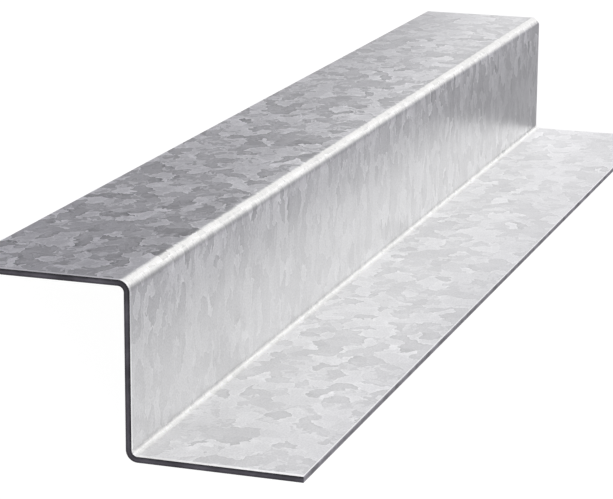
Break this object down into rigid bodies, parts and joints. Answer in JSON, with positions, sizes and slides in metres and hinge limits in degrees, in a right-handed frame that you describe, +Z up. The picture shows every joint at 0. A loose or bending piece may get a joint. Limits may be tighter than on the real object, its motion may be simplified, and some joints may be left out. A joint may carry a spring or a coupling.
{
  "type": "z bar",
  "caption": "Equal-flange Z section folded from zinc-coated sheet steel, a straight cut length for girts, furring and cladding support.",
  "frame": {"origin": "on the floor, under the middle of the bar's footprint", "axes": "+Y along the bar's length, +Z up; the bar lies as it comes to rest, tipped 43.9 degrees onto its lower fold and the free edge of its top flange, so the web leans towards -X and the bottom flange rises towards +X"},
  "size_m": [0.1266, 0.55, 0.0413],
  "materials": {
    "zinc_coated_steel": "hot-dip zinc coating with a regular spangle of grey crystals, brighter along both folds, bare dark steel at the sheared ends"
  },
  "bodies": {
    "root": {"z_bar": "zinc_coated_steel"}
  },
  "joints": []
}
